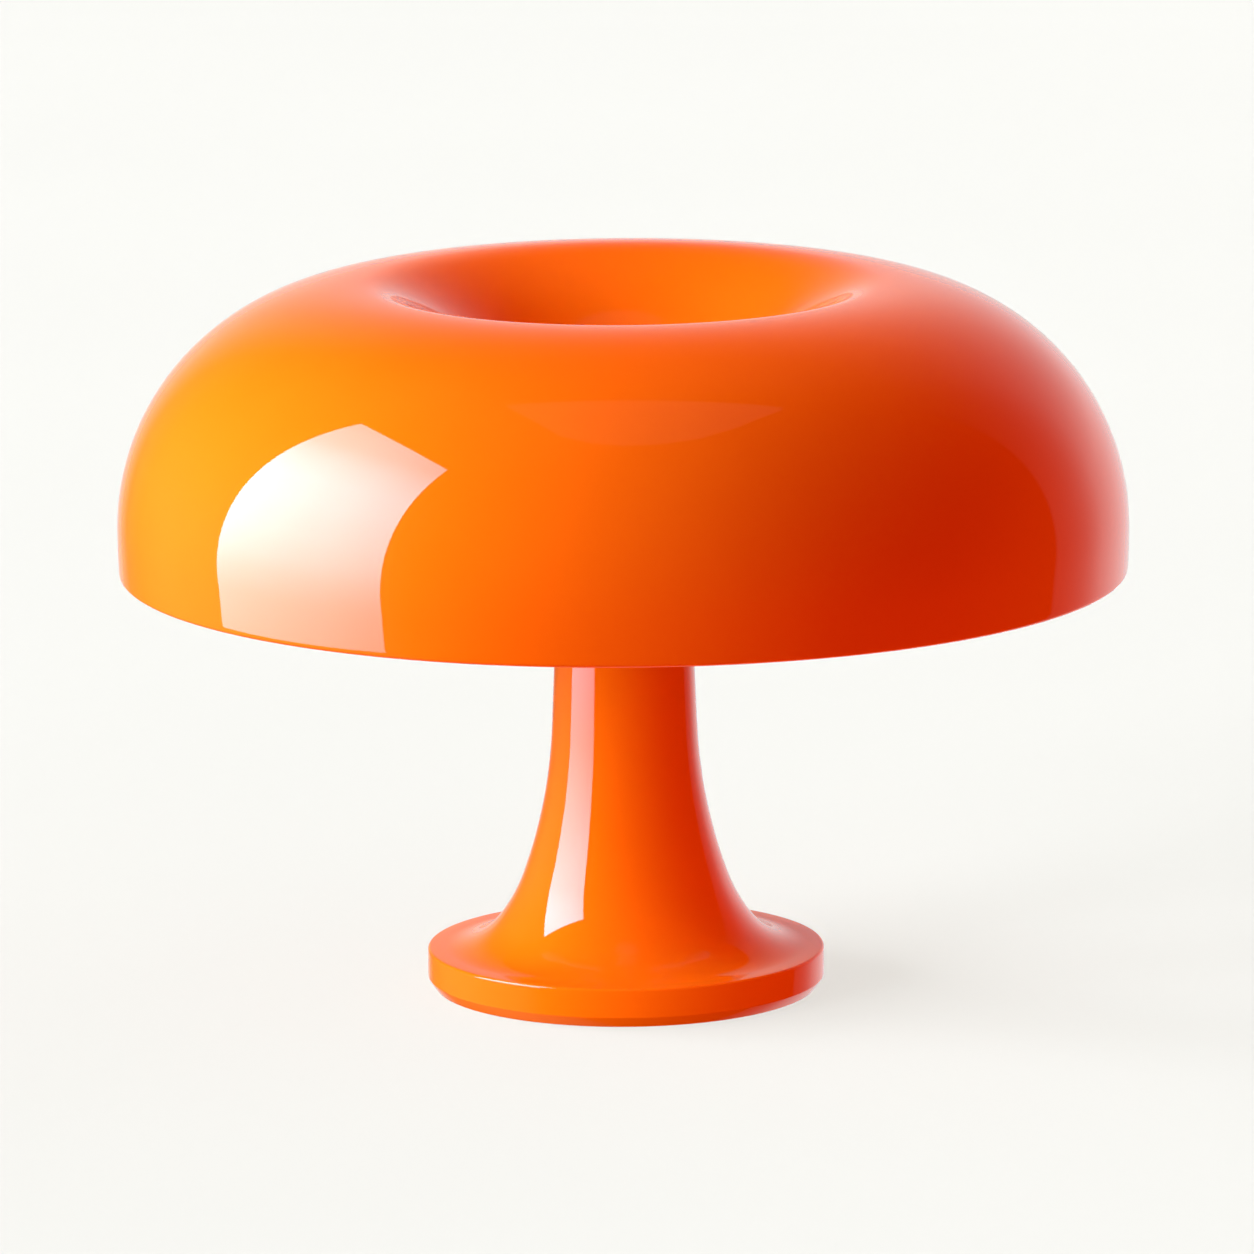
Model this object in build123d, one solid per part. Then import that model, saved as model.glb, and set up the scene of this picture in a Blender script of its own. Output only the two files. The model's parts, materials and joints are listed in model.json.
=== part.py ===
from build123d import *
import os
from math import asin, cos, degrees, hypot, radians, sin, sqrt, tan

# A mushroom table lamp: a ring-shaped dome shade with a funnel in its middle,
# lifted off a flared stem that is one moulding with its round base.
# Millimetres. The origin is on the table under the stem, +Z is up, the cord leaves at +Y.

# Shade outline, all of it turned about the stem's axis
shade_radius = 160.0
shade_wall = 3.0
rim_z = 135.4
rim_inset = 0.4
dome_radius = 77.4
dome_centre_z = 149.6
lip_radius = 27.3
lip_turn = 25.0
funnel_land = 8.3
rim_edge_radius = 1.2
neck_thickness = 3.0
neck_corner_radius = 2.0
neck_clearance = 0.5

# Stem and base, one moulding
stem_radius = 21.1
stem_wall = 3.0
flare_foot_radius = 16.0
flare_low_radius = 132.0
flare_high_radius = 171.0
stem_taper_radius = 1000.0
flare_leans = [90.0, 28.0, 12.0, 3.5, 0.0]
shoulder_z = 175.0
shoulder_width = 3.5
spigot_rise = 4.5
base_radius = 63.2
base_top_z = 13.2
base_edge_radius = 0.9
base_gap = 0.6
base_chamfer_height = 3.4
base_chamfer_depth = 2.2
rim_wall = 5.6
boss_count = 3
boss_radius = 4.0
boss_setback = 3.6
boss_first_angle = 30.0
pilot_overrun = 0.5

# Parts that close and weight the base
foot_thickness = 2.2
foot_width = 9.0
foot_inset = 1.5
plate_thickness = 1.5
plate_clearance = 0.3
ballast_bore_radius = 23.0
ballast_gap = 2.2
ballast_rise = 1.3
ballast_slot_width = 9.0
base_screw_radius = 1.75
base_screw_length = 8.0
screw_head_height = 1.4
screw_slot_width = 0.8
screw_slot_depth = 0.6

# Cord inlet in the rear of the rim
inlet_z = 8.0
inlet_bore_radius = 2.5
inlet_wall = 1.0
inlet_flange_width = 0.5
inlet_flange_thickness = 0.8

# Seat ring under the shade and cap over the stem's open end
seat_ring_thickness = 1.0
seat_ring_inset = 0.4
cap_thickness = 2.0
cap_plug_depth = 5.0
cap_plug_wall = 2.0

# Lampholders, four round the stem, sizes of the small screw cap
arm_count = 4
holder_radius = 13.0
holder_headroom = 2.0
nipple_radius = 5.0
nipple_wall = 1.4
nut_across_flats = 14.0
nut_thickness = 3.0
nipple_overhang = 0.6
saddle_radius = 9.0
saddle_land = 1.6
holder_cap_length = 10.5
holder_cap_wall = 2.6
holder_cap_corner = 4.6
holder_shell_length = 26.0
holder_thread_depth = 3.0
partition_offset = 2.0
partition_thickness = 2.5
sleeve_wall = 0.45
sleeve_length = 14.2
holder_shell_step = 0.4
mouth_radius = 9.6
mouth_depth = 7.0
mouth_chamfer = 0.8
contact_width = 4.0
contact_height = 1.8

# Golf-ball bulbs with the small screw cap
globe_radius = 22.5
bulb_length = 78.0
glass_wall = 0.8
glass_neck_radius = 8.1
glass_neck_fillet = 10.0
bulb_cap_radius = 6.9
bulb_cap_wall = 0.5
bulb_collar_radius = 8.9
bulb_tip_radius = 2.3
bulb_tip_height = 1.4
insulator_height = 2.8
insulator_land = 0.6
bulb_cap_straight = 14.8
bulb_flare_length = 3.0
bulb_collar_length = 4.0

# Two-core leads from the terminal block to the lampholders
lead_radius = 1.5
lead_lane = 1.3
lead_offset = 1.8
lead_rise_end_z = 24.0
lead_gather_z = 44.0

# Terminal block on the base plate
block_length = 24.0
block_width = 17.0
block_height = 12.0
block_corner_radius = 1.0
entry_spread = 4.2
entry_depth = 5.0
entry_clearance = 0.3
mains_entry_radius = 1.8
mains_entry_depth = 3.0
mains_entry_height = 3.6
terminal_screw_radius = 1.5
terminal_screw_height = 9.5
terminal_head_radius = 2.4
terminal_head_height = 1.6
block_screw_radius = 1.5
block_head_radius = 2.75

# Clearances
thread_clearance = 0.05
seat_clearance = 0.02
body_clearance = 0.3

# Heights and places that follow
neck_under_z = shoulder_z + seat_ring_thickness
funnel_floor_z = neck_under_z + neck_thickness
spigot_radius = stem_radius - shoulder_width
spigot_bore = spigot_radius - stem_wall
spigot_top_z = funnel_floor_z + spigot_rise
neck_bore = spigot_radius + neck_clearance
funnel_foot_radius = neck_bore + funnel_land
stem_bore = stem_radius - stem_wall
base_ceiling_z = base_top_z - stem_wall
rim_bore = base_radius - rim_wall
boss_circle_radius = rim_bore - boss_setback - boss_radius
plate_top_z = foot_thickness + plate_thickness
plate_radius = rim_bore - plate_clearance
bulb_axis_z = shoulder_z - holder_radius - holder_headroom
boss_angles = [boss_first_angle + 360.0 * i / boss_count for i in range(boss_count)]
arms = range(arm_count)

# Distances from the stem's axis along a lampholder
saddle_flat = stem_radius + saddle_land
holder_join = saddle_flat + holder_cap_length
partition_back = holder_join + partition_offset
partition_front = partition_back + partition_thickness
holder_mouth = holder_join + holder_shell_length
bulb_tip = partition_front + contact_height + body_clearance
inner_flat = sqrt(stem_bore ** 2 - nut_across_flats ** 2 / 4) - saddle_land
nipple_inner = inner_flat - nut_thickness - nipple_overhang
nipple_outer = saddle_flat + holder_cap_wall + nipple_overhang


def line(*points):
    """Straight edges through (radius, height) points."""
    return Polyline(*points).edges()


def arc(centre, radius, start, end):
    """An arc about a centre in (radius, height), from one angle to another in degrees."""
    return CenterArc(centre, radius, start, end - start).edge()


def turned(edges):
    """A closed outline of edges turned about the Z axis."""
    return revolve(Plane.XZ * make_face(edges), Axis.Z)


def turned_points(*points):
    """A closed outline of straight edges turned about the Z axis."""
    return turned(line(*points, points[0]))


def ring(inner, outer, low, high):
    """A plain ring, or a disc where the inner radius is zero."""
    return turned_points((inner, low), (outer, low), (outer, high), (inner, high))


def on_arm(index, part):
    """Turns a piece made along +Z to lie along lampholder arm number index."""
    angle = radians(360.0 / arm_count * index)
    outward = (cos(angle), sin(angle), 0)
    return Plane(origin=(0, 0, bulb_axis_z), x_dir=(0, 0, 1), z_dir=outward) * part


def on_each_arm(part):
    """The same small fastener on every arm, as separate solids."""
    return Compound(children=[on_arm(i, part) for i in arms])


def slotted_screw(shank_radius, shank_length, head_radius, head_height):
    """A slotted screw standing on its shank, with the head's underside at height zero."""
    screw = Pos(0, 0, -shank_length / 2) * Cylinder(shank_radius, shank_length)
    screw += Pos(0, 0, head_height / 2) * Cylinder(head_radius, head_height)
    slot_z = head_height - screw_slot_depth / 2
    return screw - Pos(0, 0, slot_z) * Box(3 * head_radius, screw_slot_width, screw_slot_depth)


def shade_arcs(offset):
    """Arcs from the rim over the dome into the funnel, set inwards by an offset."""
    floor_z = funnel_floor_z if offset == 0 else neck_under_z
    bow_radius = ((dome_centre_z - rim_z) ** 2 + rim_inset ** 2) / (2 * rim_inset)
    bow_centre = (shade_radius - bow_radius, dome_centre_z)
    bow_start = -degrees(asin((dome_centre_z - rim_z) / (bow_radius - offset)))
    dome_centre = (shade_radius - dome_radius, dome_centre_z)
    lip_centre = (dome_centre[0], dome_centre_z + dome_radius - lip_radius)
    lip_end = 90 + lip_turn
    outward = (cos(radians(lip_end)), sin(radians(lip_end)))
    lip_foot = (lip_centre[0] + lip_radius * outward[0], lip_centre[1] + lip_radius * outward[1])
    run = (funnel_foot_radius - lip_foot[0], funnel_floor_z - lip_foot[1])
    fall = run[0] * outward[0] + run[1] * outward[1]
    funnel_radius = -(run[0] ** 2 + run[1] ** 2) / (2 * fall)
    funnel_centre = (
        lip_foot[0] - funnel_radius * outward[0],
        lip_foot[1] - funnel_radius * outward[1],
    )
    drop = (floor_z - funnel_centre[1]) / (funnel_radius - offset)
    funnel_end = 180 - degrees(asin(drop))
    return [
        arc(bow_centre, bow_radius - offset, bow_start, 0),
        arc(dome_centre, dome_radius - offset, 0, 90),
        arc(lip_centre, lip_radius - offset, 90, lip_end),
        arc(funnel_centre, funnel_radius - offset, lip_end, funnel_end),
    ]


def crown(edge_radius, edge_z, top_z):
    """A shallow arc from an edge up, or down, to the axis, its centre on the axis."""
    rise = abs(top_z - edge_z)
    radius = (edge_radius ** 2 + rise ** 2) / (2 * rise)
    half = degrees(asin(edge_radius / radius))
    if top_z > edge_z:
        return arc((0, top_z - radius), radius, 90 - half, 90)
    return arc((0, top_z + radius), radius, half - 90, -90)


def rounded_at(face, radius, *points):
    """Rounds the corners of a flat section that lie at the given points."""
    corners = [
        vertex
        for vertex in face.vertices()
        if any(hypot(vertex.X - x, vertex.Y - y) < 0.001 for x, y, *_ in points)
    ]
    return fillet(corners, radius)


def shade():
    """The one-piece shade: dome, lip and funnel of even wall, with a flat neck ring."""
    outer = shade_arcs(0)
    inner = shade_arcs(shade_wall)
    outer_rim, outer_end = outer[0] @ 0, outer[-1] @ 1
    inner_rim, inner_end = inner[0] @ 0, inner[-1] @ 1
    neck = line(outer_end, (neck_bore, funnel_floor_z), (neck_bore, neck_under_z), inner_end)
    face = make_face([*outer, *neck, *inner, *line(inner_rim, outer_rim)])
    face = rounded_at(face, rim_edge_radius, outer_rim, inner_rim)
    face = rounded_at(face, neck_corner_radius, outer_end, inner_end)
    return revolve(Plane.XZ * face, Axis.Z)


def flare_arcs(offset):
    """Arcs from the flat of the base up to the straight stem, set inwards by an offset."""
    flare_radii = [flare_foot_radius, flare_low_radius, flare_high_radius, stem_taper_radius]
    steps = list(zip(flare_radii, flare_leans, flare_leans[1:]))
    spread = sum(r * (cos(radians(b)) - cos(radians(a))) for r, a, b in steps)
    x, z = stem_radius + spread, base_top_z
    arcs = []
    for radius, lean_a, lean_b in steps:
        centre = (x + radius * cos(radians(lean_a)), z + radius * sin(radians(lean_a)))
        arcs.append(arc(centre, radius + offset, 180 + lean_a, 180 + lean_b))
        x = centre[0] - radius * cos(radians(lean_b))
        z = centre[1] - radius * sin(radians(lean_b))
    return arcs


def stem_base():
    """Base disc, flared stem, shoulder and spigot in one moulded shell."""
    flare = flare_arcs(0)
    hollow = flare_arcs(stem_wall)
    chamfer_z = base_gap + base_chamfer_height
    top_edge = (base_radius, base_top_z)
    outside = line(
        (rim_bore, base_gap),
        (base_radius - base_chamfer_depth, base_gap),
        (base_radius, chamfer_z),
        top_edge,
        flare[0] @ 0,
    )
    head = line(
        flare[-1] @ 1,
        (stem_radius, shoulder_z),
        (spigot_radius, shoulder_z),
        (spigot_radius, spigot_top_z),
        (spigot_bore, spigot_top_z),
        (spigot_bore, shoulder_z - stem_wall),
        (stem_bore, shoulder_z - stem_wall),
        hollow[-1] @ 1,
    )
    inside = line(hollow[0] @ 0, (rim_bore, base_ceiling_z), (rim_bore, base_gap))
    face = make_face([*outside, *flare, *head, *hollow, *inside])
    face = rounded_at(face, base_edge_radius, top_edge)
    body = revolve(Plane.XZ * face, Axis.Z)
    boss_height = base_ceiling_z + stem_wall / 2 - plate_top_z
    for angle in boss_angles:
        place = Rot(0, 0, angle) * Pos(boss_circle_radius, 0, plate_top_z + boss_height / 2)
        body += place * Cylinder(boss_radius, boss_height)
    pilot_depth = base_screw_length - plate_thickness + pilot_overrun
    for angle in boss_angles:
        place = Rot(0, 0, angle) * Pos(boss_circle_radius, 0, plate_top_z + pilot_depth / 2)
        body -= place * Cylinder(base_screw_radius + seat_clearance, pilot_depth)
    hole_length = stem_radius + stem_wall
    for index in arms:
        hole = Pos(0, 0, hole_length / 2) * Cylinder(nipple_radius + body_clearance, hole_length)
        body -= on_arm(index, hole)
    return body - inlet_hole() - cord_way()


def along_rear(start_y, end_y, radius):
    """A round bar along +Y at the cord inlet's height."""
    bar = Pos(0, (start_y + end_y) / 2, inlet_z) * Rot(90, 0, 0)
    return bar * Cylinder(radius, end_y - start_y)


def inlet_hole():
    """The hole through the rear of the rim that the gland sits in."""
    bush_radius = inlet_bore_radius + inlet_wall
    return along_rear(rim_bore - stem_wall, base_radius + stem_wall, bush_radius + seat_clearance)


def cord_way():
    """A shallow groove in the base's ceiling, in line with the cord inlet."""
    return along_rear(boss_circle_radius - boss_radius, rim_bore, inlet_bore_radius + body_clearance)


def cord_gland():
    """The bush in the rear of the rim, with a small flange outside."""
    bush_radius = inlet_bore_radius + inlet_wall
    flange_start = base_radius + seat_clearance
    flange_end = flange_start + inlet_flange_thickness
    gland = along_rear(rim_bore, flange_end, bush_radius)
    gland += along_rear(flange_start, flange_end, bush_radius + inlet_flange_width)
    return gland - along_rear(rim_bore - rim_wall, flange_end + rim_wall, inlet_bore_radius)


def base_plate():
    """The steel disc that closes the base, screwed to the bosses."""
    plate = ring(0, plate_radius, foot_thickness, plate_top_z)
    plate -= Pos(0, 0, plate_top_z) * Cylinder(block_screw_radius + seat_clearance, 3 * plate_thickness)
    for angle in boss_angles:
        place = Rot(0, 0, angle) * Pos(boss_circle_radius, 0, plate_top_z)
        plate -= place * Cylinder(base_screw_radius + body_clearance, 3 * plate_thickness)
    return plate


def base_screws():
    """Slotted screws from below, through the plate into the bosses."""
    screw = slotted_screw(base_screw_radius, base_screw_length, 2 * base_screw_radius, screw_head_height)
    screws = []
    for angle in boss_angles:
        place = Rot(0, 0, angle) * Pos(boss_circle_radius, 0, foot_thickness) * Rot(180, 0, 0)
        screws.append(place * screw)
    return Compound(children=screws)


def foot_ring():
    """The flat rubber ring that the lamp stands on, notched round the screw heads."""
    outer = plate_radius - foot_inset
    foot = ring(outer - foot_width, outer, 0, foot_thickness)
    for angle in boss_angles:
        place = Rot(0, 0, angle) * Pos(boss_circle_radius, 0, 0)
        foot -= place * Cylinder(2 * base_screw_radius + 2 * body_clearance, 3 * foot_thickness)
    return foot


def ballast_ring():
    """The cast iron weight on the plate, slotted at the rear for the cord."""
    outer = boss_circle_radius - boss_radius - ballast_gap
    top = base_ceiling_z + ballast_rise
    ballast = ring(ballast_bore_radius, outer, plate_top_z, top)
    return ballast - Pos(0, outer, top) * Box(ballast_slot_width, 1.9 * outer, 4 * top)


def seat_ring():
    """The soft ring between the stem's shoulder and the shade."""
    inner = spigot_radius + seat_clearance
    return ring(inner, stem_radius - seat_ring_inset, shoulder_z, neck_under_z)


def stem_cap():
    """The domed cap that plugs the spigot at the bottom of the funnel."""
    plug_radius = spigot_bore - thread_clearance
    plug_inner = plug_radius - cap_plug_wall
    top_z = spigot_top_z + cap_thickness
    plug_z = spigot_top_z - cap_plug_depth
    edge_z = spigot_top_z + cap_thickness / 2
    outline = line(
        (0, top_z),
        (0, spigot_top_z),
        (plug_inner, spigot_top_z),
        (plug_inner, plug_z),
        (plug_radius, plug_z),
        (plug_radius, spigot_top_z),
        (spigot_radius, spigot_top_z),
        (spigot_radius, edge_z),
    )
    return turned([crown(spigot_radius, edge_z, top_z), *outline])


def terminal_block():
    """The moulded block that shares the mains out to the four leads."""
    block = Pos(0, 0, plate_top_z + block_height / 2) * Box(block_length, block_width, block_height)
    block = fillet(block.edges().filter_by(Axis.Z), block_corner_radius)
    top = plate_top_z + block_height
    block -= Pos(0, 0, top) * Cylinder(block_screw_radius + thread_clearance, 3 * block_height)
    for index in arms:
        entry = entry_place(index)
        block -= Pos(entry.X, entry.Y, top) * Cylinder(lead_radius + entry_clearance, 2 * entry_depth)
    for side in (-1, 1):
        mains = Pos(side * entry_spread, block_width / 2, plate_top_z + mains_entry_height) * Rot(90, 0, 0)
        block -= mains * Cylinder(mains_entry_radius, 2 * mains_entry_depth)
        for row in (-1, 1):
            block -= terminal_place(side, row) * Cylinder(
                terminal_screw_radius + seat_clearance, 2 * terminal_screw_reach()
            )
    return block


def terminal_screw_reach():
    """How far a clamping screw goes in from the side of the block to a lead."""
    return block_length / 2 - entry_spread - lead_radius - seat_clearance


def terminal_place(side, row):
    """Where a clamping screw enters a side of the block, pointing outwards."""
    height = plate_top_z + terminal_screw_height
    return Pos(side * block_length / 2, row * entry_spread, height) * Rot(0, 90 * side, 0)


def terminal_screws():
    """The four screws that clamp the leads, two on each side of the block."""
    screw = slotted_screw(
        terminal_screw_radius, terminal_screw_reach(), terminal_head_radius, terminal_head_height
    )
    return Compound(children=[terminal_place(side, row) * screw for side in (-1, 1) for row in (-1, 1)])


def block_screw():
    """The screw that holds the terminal block to the base plate."""
    length = block_height + plate_thickness
    screw = slotted_screw(block_screw_radius, length, block_head_radius, terminal_head_height)
    return Pos(0, 0, plate_top_z + block_height) * screw


def entry_place(index):
    """Where lead number index enters the top of the terminal block."""
    turn = Rot(0, 0, 360.0 / arm_count * index)
    return (turn * Pos(entry_spread, entry_spread, 0)).position


def holder_lead(index):
    """One two-core lead: up from the block, together up the stem, out through the nipple."""
    end_z = plate_top_z + block_height - entry_depth
    points = [
        Vector(entry_spread, entry_spread, end_z),
        Vector(entry_spread, entry_spread, lead_rise_end_z),
        Vector(lead_lane, lead_offset, lead_gather_z),
        Vector(lead_lane, lead_offset, bulb_axis_z),
        Vector(partition_back, lead_offset, bulb_axis_z),
    ]
    runs = [b - a for a, b in zip(points, points[1:])]
    radii = []
    for before, after in zip(runs, runs[1:]):
        half_turn = radians(before.get_angle(after)) / 2
        shorter = min(before.length, after.length)
        radii.append(0.45 * shorter / tan(half_turn))
    radii[-1] = min(radii[-1], nipple_inner - lead_lane)
    path = FilletPolyline(*points, radius=radii)
    lead = sweep(Plane(path @ 0, z_dir=path % 0) * Circle(lead_radius), path=path)
    if index == 0:
        share = lead.volume / (Circle(lead_radius).area * path.length)
        print("lead radii", [round(radius, 1) for radius in radii])
        print("lead length", round(path.length, 1), "volume over section times length", round(share, 4))
    return Rot(0, 0, 360.0 / arm_count * index) * lead


def saddle(flat, curve_radius, disc_radius, outward):
    """A washer with one flat side and one side curved to the round stem, made along +Z."""
    reach = abs(flat - curve_radius) + disc_radius
    middle = flat - outward * reach / 2
    disc = Pos(0, 0, middle) * Cylinder(disc_radius, reach)
    disc -= Pos(0, 0, middle) * Cylinder(nipple_radius + body_clearance, 2 * reach)
    stem = Rot(0, 90, 0) * Cylinder(curve_radius, 4 * disc_radius)
    return disc - stem if outward > 0 else disc & stem


def outer_saddles():
    """Washers between the stem and each lampholder."""
    return on_each_arm(saddle(saddle_flat, stem_radius + seat_clearance, saddle_radius, 1))


def inner_saddles():
    """Washers inside the stem under each nut."""
    disc_radius = nut_across_flats / 2
    return on_each_arm(saddle(inner_flat, stem_bore - seat_clearance, disc_radius, -1))


def holder_nuts():
    """Hexagon nuts that pull the nipples against the stem from inside."""
    nut = extrude(RegularPolygon(nut_across_flats / 2, 6, major_radius=False), nut_thickness)
    nut = Pos(0, 0, inner_flat - nut_thickness) * nut
    nut -= Pos(0, 0, inner_flat) * Cylinder(nipple_radius + thread_clearance, 4 * nut_thickness)
    return on_each_arm(nut)


def holder_nipples():
    """Hollow threaded tubes that carry the lampholders and pass the leads."""
    return on_each_arm(ring(nipple_radius - nipple_wall, nipple_radius, nipple_inner, nipple_outer))


def holder_cap():
    """The rear dome of a lampholder, screwed onto its nipple."""
    bore = nipple_radius + thread_clearance
    corner = holder_cap_corner
    outline = line(
        (holder_radius, saddle_flat + corner),
        (holder_radius, holder_join),
        (holder_radius - holder_cap_wall, holder_join),
        (holder_radius - holder_cap_wall, saddle_flat + holder_cap_wall),
        (bore, saddle_flat + holder_cap_wall),
        (bore, saddle_flat),
        (holder_radius - corner, saddle_flat),
    )
    shoulder = arc((holder_radius - corner, saddle_flat + corner), corner, -90, 0)
    return turned([*outline, shoulder])


def holder_shell():
    """The front of a lampholder: thread, partition, sleeve pocket and open mouth."""
    thread = holder_radius - holder_cap_wall - thread_clearance
    back = holder_join - holder_thread_depth
    pocket = bulb_cap_radius + body_clearance + sleeve_wall + thread_clearance
    outer = holder_radius - holder_shell_step
    shell = turned_points(
        (0, partition_back),
        (thread - holder_cap_wall, partition_back),
        (thread - holder_cap_wall, back),
        (thread, back),
        (thread, holder_join + seat_clearance),
        (outer, holder_join + seat_clearance),
        (outer, holder_mouth - mouth_chamfer),
        (outer - mouth_chamfer, holder_mouth),
        (mouth_radius, holder_mouth),
        (mouth_radius, holder_mouth - mouth_depth),
        (pocket, holder_mouth - mouth_depth),
        (pocket, partition_front),
        (0, partition_front),
    )
    return shell


def holder_sleeve():
    """The metal sleeve that takes the bulb's cap."""
    bore = bulb_cap_radius + body_clearance
    return ring(bore, bore + sleeve_wall, partition_front, partition_front + sleeve_length)


def holder_contact():
    """The sprung tongue on the partition that meets the bulb's tip."""
    tongue = Box(contact_width, 2.4 * contact_width, contact_height)
    tongue = fillet(tongue.edges().filter_by(Axis.Z), contact_width / 4)
    return Pos(0, 0, partition_front + contact_height / 2) * tongue


def bulb_glass():
    """The thin glass globe, open at its neck inside the cap."""
    globe_z = bulb_tip + bulb_length - globe_radius
    fillet_height = glass_neck_radius + glass_neck_fillet
    fillet_z = globe_z - sqrt((globe_radius + glass_neck_fillet) ** 2 - fillet_height ** 2)
    meet = degrees(asin((globe_z - fillet_z) / (globe_radius + glass_neck_fillet)))
    neck_z = bulb_collar_z()

    def wall(offset):
        """The neck line, its fillet and the globe, set inwards by an offset."""
        radius = glass_neck_radius - offset
        neck = line((radius, neck_z), (radius, fillet_z))
        waist = arc((fillet_height, fillet_z), glass_neck_fillet + offset, 180, 180 - meet)
        globe = arc((0, globe_z), globe_radius - offset, -meet, 90)
        return [*neck, waist, globe]

    outer = wall(0)
    inner = wall(glass_wall)
    ends = line(outer[-1] @ 1, inner[-1] @ 1) + line(inner[0] @ 0, outer[0] @ 0)
    return turned([*outer, *inner, *ends])


def bulb_collar_z():
    """Where the bulb's cap has opened out to its collar."""
    return bulb_tip + bulb_tip_height + insulator_height + bulb_cap_straight + bulb_flare_length


def bulb_cap():
    """The metal screw cap: a straight shell that opens to a collar round the glass."""
    bottom = bulb_tip + bulb_tip_height + insulator_height
    flare = bottom + bulb_cap_straight
    collar = bulb_collar_z()
    top = collar + bulb_collar_length
    inner = bulb_cap_radius - bulb_cap_wall
    inner_collar = bulb_collar_radius - bulb_cap_wall
    return turned_points(
        (inner, bottom),
        (bulb_cap_radius, bottom),
        (bulb_cap_radius, flare),
        (bulb_collar_radius, collar),
        (bulb_collar_radius, top),
        (inner_collar, top),
        (inner_collar, collar),
        (inner, flare),
    )


def bulb_insulator():
    """The dark cone between the cap and its centre contact."""
    bottom = bulb_tip + bulb_tip_height
    rim = bottom + insulator_height
    plug = bulb_cap_radius - bulb_cap_wall - seat_clearance
    return turned_points(
        (0, bottom),
        (bulb_tip_radius + insulator_land, bottom),
        (plug, rim),
        (plug, rim + insulator_height),
        (0, rim + insulator_height),
    )


def bulb_contact():
    """The domed centre contact under the cap."""
    top = bulb_tip + bulb_tip_height
    dome = crown(bulb_tip_radius, top, bulb_tip)
    return turned([dome, *line((bulb_tip_radius, top), (0, top), (0, bulb_tip))])


def all_nodes():
    """Every separate piece of the lamp by its name."""
    nodes = {
        "shade": shade(),
        "stem_base": stem_base(),
        "base_plate": base_plate(),
        "base_screws": base_screws(),
        "foot_ring": foot_ring(),
        "ballast_ring": ballast_ring(),
        "cord_gland": cord_gland(),
        "seat_ring": seat_ring(),
        "stem_cap": stem_cap(),
        "terminal_block": terminal_block(),
        "terminal_screws": terminal_screws(),
        "block_screw": block_screw(),
        "outer_saddles": outer_saddles(),
        "inner_saddles": inner_saddles(),
        "holder_nuts": holder_nuts(),
        "holder_nipples": holder_nipples(),
    }
    arm_pieces = {
        "holder_cap": holder_cap(),
        "holder_shell": holder_shell(),
        "holder_sleeve": holder_sleeve(),
        "holder_contact": holder_contact(),
        "bulb_glass": bulb_glass(),
        "bulb_cap": bulb_cap(),
        "bulb_insulator": bulb_insulator(),
        "bulb_contact": bulb_contact(),
    }
    for index in arms:
        number = index + 1
        nodes[f"holder_lead_{number}"] = holder_lead(index)
        for name, piece in arm_pieces.items():
            nodes[f"{name}_{number}"] = on_arm(index, piece)
    return nodes


os.makedirs("parts", exist_ok=True)
for name, piece in all_nodes().items():
    export_step(piece, f"parts/{name}.step")
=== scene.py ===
# %% [markdown]
# # A mushroom table lamp, dressed in Blender
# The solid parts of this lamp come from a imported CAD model, in metres, with the origin on the table
# under the stem. This script keeps that model as its frame and gives it its looks: the glossy orange
# mouldings are turned again as clean, dense surfaces, because a mirror-like plastic shows every
# facet, and every other part gets a finish of its own.

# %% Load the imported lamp
import json
import math

import bpy
from mathutils import Matrix, Vector

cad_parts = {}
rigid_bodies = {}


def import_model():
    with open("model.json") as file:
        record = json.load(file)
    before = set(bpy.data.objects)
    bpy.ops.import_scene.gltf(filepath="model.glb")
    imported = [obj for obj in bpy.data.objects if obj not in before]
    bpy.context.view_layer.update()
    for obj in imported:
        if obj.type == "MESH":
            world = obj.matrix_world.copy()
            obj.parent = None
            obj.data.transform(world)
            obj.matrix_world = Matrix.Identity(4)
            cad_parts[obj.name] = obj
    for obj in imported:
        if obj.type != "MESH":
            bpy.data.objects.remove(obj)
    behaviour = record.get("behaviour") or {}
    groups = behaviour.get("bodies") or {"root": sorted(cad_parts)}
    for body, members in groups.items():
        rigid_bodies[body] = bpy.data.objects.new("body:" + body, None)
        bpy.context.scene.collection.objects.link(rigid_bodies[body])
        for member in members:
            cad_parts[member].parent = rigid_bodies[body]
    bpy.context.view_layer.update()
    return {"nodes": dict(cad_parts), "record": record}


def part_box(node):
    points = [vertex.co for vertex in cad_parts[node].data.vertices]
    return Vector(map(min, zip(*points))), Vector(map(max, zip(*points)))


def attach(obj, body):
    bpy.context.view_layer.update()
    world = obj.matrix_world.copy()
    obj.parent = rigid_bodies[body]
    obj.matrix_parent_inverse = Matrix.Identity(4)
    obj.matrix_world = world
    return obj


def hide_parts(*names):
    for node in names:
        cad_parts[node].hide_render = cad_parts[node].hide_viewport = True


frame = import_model()
parts = frame["nodes"]

# %% [markdown]
# ## The camera
# The photograph was taken with a long lens from a little above, so the round base and the rim of
# the shade show as thin ellipses and nothing converges. The stand-off, the tilt and the focal length
# were worked out from those ellipses, and the small roll keeps the rim as level as it is there.

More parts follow.
